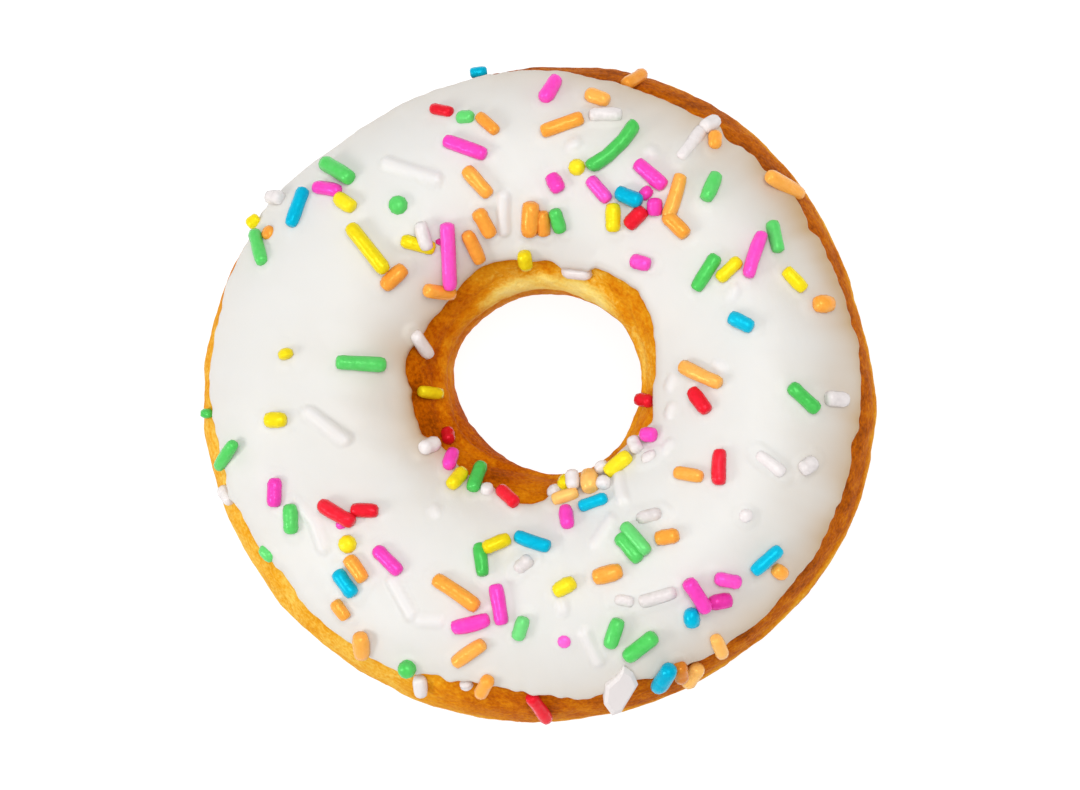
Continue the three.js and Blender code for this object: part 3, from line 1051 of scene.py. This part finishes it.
def add(tree, kind, inputs, stops=(), **settings):
    """Add a node to a tree: settings are its own properties, inputs sets a socket to a value
    or links it to another node's output, and stops are a colour ramp's places and colours."""
    made = tree.nodes.new("ShaderNode" + kind)
    for name, value in settings.items():
        setattr(made, name, value)
    for socket, value in inputs.items():
        if isinstance(value, bpy.types.NodeSocket):
            tree.links.new(value, made.inputs[socket])
        else:
            made.inputs[socket].default_value = value
    for number, (place, sheet) in enumerate(stops):
        ramp = made.color_ramp.elements
        stop = ramp[number] if number < 2 else ramp.new(1.0)
        stop.position = place
        stop.color = linear(sheet)
    return made


def new_finish(name):
    """An empty material and its node tree."""
    made = bpy.data.materials.new(name)
    made.use_nodes = True
    made.node_tree.nodes.clear()
    return made, made.node_tree


# %% [markdown]
# ### Fried dough crust
#
# A fried crust is dry starch with a little oil in it, set in blisters finer than a
# millimetre: matt, golden, and granular to the eye. How brown each point is, kept on the
# dough's points with the painted light and shade in it, picks the colour from a ramp of
# cream, gold, orange and brown, and two noises, one of patches and one of grain, move it up
# and down the ramp. The same two are the bump, and the grain's strength is negative, so
# that what stands up is paler.

# %% Finish the dough
PATCH, PATCHINESS = 2.2, 0.1
BLISTER, GRAININESS = 0.55, -0.28
PATCH_RELIEF = 1.5
CRUST_TONES = [
    (0.0, "#FFF09A"),
    (0.22, "#FADA68"),
    (0.45, "#E8A01C"),
    (0.62, "#D67E08"),
    (0.8, "#BA5C00"),
    (1.0, "#8A3E00"),
]


def fried_crust():
    """The tone is how brown the point is, painted light and shade included, plus the patches
    and the grain, each mapped to run from minus to plus its strength, looked up on the ramp.
    Pale dough never blistered, so both noises count for less where the crust is pale."""
    made, tree = new_finish("fried_dough_crust")
    place = add(tree, "TexCoord", {}).outputs["Object"]
    patches, grain = [
        add(tree, "TexNoise", {
            "Vector": place,
            "Scale": 1 / (size * MM),
            "Detail": 3,
            "Roughness": 0.6,
        }).outputs["Fac"]
        for size in (PATCH, BLISTER)
    ]
    patchy, grainy = [
        add(tree, "MapRange", {
            "Value": noise,
            **NOISE_RANGE,
            "To Min": -strength,
            "To Max": strength,
        }).outputs["Result"]
        for noise, strength in ((patches, PATCHINESS), (grain, GRAININESS))
    ]
    browning_and_light = add(tree, "Attribute", {}, attribute_name="browning_and_light").outputs["Fac"]
    weight = add(tree, "MapRange", {
        "Value": browning_and_light,
        "To Min": 0.25,
        "To Max": 0.7,
    }).outputs["Result"]
    uneven = add(tree, "Math", {0: patchy, 1: grainy}, operation="ADD").outputs[0]
    tone = add(tree, "Math", {0: uneven, 1: weight, 2: browning_and_light}, operation="MULTIPLY_ADD").outputs[0]
    crust = add(tree, "ValToRGB", {"Fac": tone}, stops=CRUST_TONES).outputs["Color"]
    relief = add(tree, "Math", {
        0: patches,
        1: PATCH_RELIEF,
        2: grain,
    }, operation="MULTIPLY_ADD").outputs[0]
    bumps = add(tree, "Bump", {
        "Strength": 0.8,
        "Distance": 0.16 * MM,
        "Height": relief,
    }).outputs["Normal"]
    shader = add(tree, "BsdfPrincipled", {
        "Base Color": crust,
        "Roughness": 0.6,
        "Specular IOR Level": 0.02,
        "Normal": bumps,
    })
    add(tree, "OutputMaterial", {"Surface": shader.outputs[0]})
    return made


dough.data.materials.append(fried_crust())

# %% [markdown]
# ### Sugar icing
#
# Set icing is sugar grains too fine to see in a little syrup: white, with light going a
# millimetre into it, and a satin face. Where the coat is thin, the crust warms it; on the
# sides turned away from the window light that warm tan is also painted shade and painted
# light thrown back from the crust, and over drowned rods the paler white is partly painted
# light.

# %% Finish the icing
ICING_WHITE = "#D9D7D2"
# A warm tan: thin icing over the crust, and painted shade and painted reflected light.
THIN_AND_SHADED_ICING = "#BC9A6E"
# A paler white over drowned rods: the rod seen through, and painted light on the mound's flanks.
VEILED_ROD_AND_LIGHT = "#E6E0DF"


def sugar_icing():
    """Warm white, blended by how thin the coat is and the painted shade, held between 0 and 1,
    towards a warm tan that is partly the crust showing through and partly painted shade and
    reflected light, and over a drowned rod towards a paler white that is partly the rod's own
    white seen through and partly painted light on the mound's flanks."""
    made, tree = new_finish("satin_sugar_icing")
    thinness_and_shade = add(tree, "Attribute", {}, attribute_name="thinness_and_shade").outputs["Fac"]
    veil_and_light = add(tree, "Attribute", {}, attribute_name="rod_veil_and_light").outputs["Fac"]
    coat = add(tree, "Mix", {
        MIX_SHARE: thinness_and_shade,
        MIX_FIRST: linear(ICING_WHITE),
        MIX_SECOND: linear(THIN_AND_SHADED_ICING),
    }, data_type="RGBA").outputs[MIX_RESULT]
    colour = add(tree, "Mix", {
        MIX_SHARE: veil_and_light,
        MIX_FIRST: coat,
        MIX_SECOND: linear(VEILED_ROD_AND_LIGHT),
    }, data_type="RGBA")
    shader = add(tree, "BsdfPrincipled", {
        "Base Color": colour.outputs[MIX_RESULT],
        "Roughness": 0.42,
        "Specular IOR Level": 0.3,
        "Subsurface Weight": 0.3,
        "Subsurface Radius": (1.0, 0.9, 0.75),
        "Subsurface Scale": 1.2 * MM,
    })
    add(tree, "OutputMaterial", {"Surface": shader.outputs[0]})
    return made


icing.data.materials.append(sugar_icing())

# %% [markdown]
# ### Coloured sugar
#
# A rod is starch and sugar under a thin polish of wax. Food dye colours it right through, and
# each batch is a little darker or paler than the next; the darkest tones, on rods that lie in
# the shade of others, are painted shade. The polish is smooth, and the rod under it faintly
# lumpy from tumbling, so its highlight breaks up.

# %% Finish the sprinkles
TUMBLE_LUMP = 0.7
DARKEST = 0.6
DEEPER = 1.8
FAINTER = 0.6
POLISH = 0.9
DULL_POLISH = 0.25
CHIP_WHITE = "#DED6D3"
SUGAR_GLOW = {
    "Subsurface Weight": 0.25,
    "Subsurface Radius": (1.0, 1.0, 1.0),
    "Subsurface Scale": 0.5 * MM,
}


def coloured_sugar(name, sheet, polish):
    """Each rod's own darkness or paleness, which on rods in the shade of others is painted
    shade, and a little noise make a tone: above 0 it blends the colour towards a paler batch,
    which is the colour to a power below 1, and below 0 towards a darker one, a share of the
    colour to a power above 1. So both keep its hue. The wax is dyed too, so the polish throws
    back the paler colour."""
    made, tree = new_finish(name + "_sugar_rod")
    colour = linear(sheet)
    darker = tuple(DARKEST * channel**DEEPER for channel in colour[:3]) + (1.0,)
    paler = tuple(channel**FAINTER for channel in colour[:3]) + (1.0,)
    place = add(tree, "TexCoord", {}).outputs["Object"]
    lumps = add(tree, "TexNoise", {
        "Vector": place,
        "Scale": 1 / (TUMBLE_LUMP * MM),
        "Detail": 2,
    }).outputs["Fac"]
    tint_and_shade = add(tree, "Attribute", {}, attribute_name="rod_tint_and_shade").outputs["Fac"]
    mottle = add(tree, "MapRange", {
        "Value": lumps,
        **NOISE_RANGE,
        "To Min": -0.12,
        "To Max": 0.12,
    }).outputs["Result"]
    tone = add(tree, "Math", {0: tint_and_shade, 1: mottle}, operation="ADD").outputs[0]
    pale_share = add(tree, "MapRange", {"Value": tone}).outputs["Result"]
    dark_share = add(tree, "MapRange", {"Value": tone, "From Max": -1}).outputs["Result"]
    paled = add(tree, "Mix", {
        MIX_SHARE: pale_share,
        MIX_FIRST: colour,
        MIX_SECOND: paler,
    }, data_type="RGBA").outputs[MIX_RESULT]
    blended = add(tree, "Mix", {
        MIX_SHARE: dark_share,
        MIX_FIRST: paled,
        MIX_SECOND: darker,
    }, data_type="RGBA")
    bumps = add(tree, "Bump", {
        "Strength": 0.7,
        "Distance": 0.14 * MM,
        "Height": lumps,
    }).outputs["Normal"]
    shader = add(tree, "BsdfPrincipled", {
        "Base Color": blended.outputs[MIX_RESULT],
        "Roughness": 0.24,
        "Specular IOR Level": polish,
        "Specular Tint": paler,
        "Normal": bumps,
        **SUGAR_GLOW,
    })
    add(tree, "OutputMaterial", {"Surface": shader.outputs[0]})
    return made


def broken_sugar():
    """Bare white sugar: it broke after polishing, so it is matt."""
    made, tree = new_finish("broken_sugar_chip")
    shader = add(tree, "BsdfPrincipled", {
        "Base Color": linear(CHIP_WHITE),
        "Roughness": 0.7,
        "Specular IOR Level": 0.2,
        **SUGAR_GLOW,
    })
    add(tree, "OutputMaterial", {"Surface": shader.outputs[0]})
    return made


for colour, (sheet, _) in COLOURS.items():
    polish = DULL_POLISH if colour == "white" else POLISH
    sprinkles[colour].data.materials.append(coloured_sugar(colour, sheet, polish))
chip.data.materials.append(broken_sugar())

# %% [markdown]
# ## The stage
#
# The doughnut stands on a white table under two softboxes: a large one nearly overhead, and
# a smaller and lower one like a window on the left. The room's white walls fill the
# shadows, and the table glows a little, so that it stays evenly white.

# %% Build the floor
FLOOR_SIZE = 3000
TABLE_GREY, TABLE_GLOW = "#6A6A6A", 0.92
floor = mesh_object(
    "white_table",
    np.array([[-1, -1, 0], [1, -1, 0], [1, 1, 0], [-1, 1, 0]]) * FLOOR_SIZE / 2,
    [np.array([[0, 1, 2, 3]])],
)
table_top, tree = new_finish("matt_white_table")
matt = add(tree, "BsdfPrincipled", {
    "Base Color": linear(TABLE_GREY),
    "Roughness": 0.8,
    "Emission Color": linear("#FFFFFF"),
    "Emission Strength": TABLE_GLOW,
})
add(tree, "OutputMaterial", {"Surface": matt.outputs[0]})
floor.data.materials.append(table_top)
print("table:", FLOOR_SIZE, "mm wide")


# %% Hang the lights
def softbox(name, bearing, elevation, distance, size, power):
    """A square lamp that faces the doughnut: bearing and elevation in degrees, distance and
    size in millimetres, power in watts."""
    lamp = bpy.data.lights.new(name, "AREA")
    lamp.size = size * MM
    lamp.energy = power
    made = bpy.data.objects.new(name, lamp)
    away = Vector((
        np.cos(np.radians(bearing)) * np.cos(np.radians(elevation)),
        np.sin(np.radians(bearing)) * np.cos(np.radians(elevation)),
        np.sin(np.radians(elevation)),
    ))
    facing = away.to_track_quat("Z", "Y").to_matrix().to_4x4()
    made.matrix_world = Matrix.Translation(away * distance * MM) @ facing
    bpy.context.scene.collection.objects.link(made)


softbox("key_softbox", bearing=20, elevation=77, distance=900, size=460, power=4.7)
softbox("window_softbox", bearing=205, elevation=38, distance=900, size=260, power=2.7)

WALL_WHITE, WALL_LIGHT = "#F4F7FC", 0.59
world = bpy.data.worlds.new("white_room")
world.use_nodes = True
walls = world.node_tree.nodes["Background"]
walls.inputs["Color"].default_value = linear(WALL_WHITE)
walls.inputs["Strength"].default_value = WALL_LIGHT
bpy.context.scene.world = world
bpy.context.scene.view_settings.view_transform = "Standard"
print("lights:", len(bpy.data.lights))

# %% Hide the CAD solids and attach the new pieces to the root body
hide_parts("dough_ring")
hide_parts("icing")
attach(dough, "root")
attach(icing, "root")
for piece in [*sprinkles.values(), chip]:
    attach(piece, "root")

bpy.context.view_layer.update()
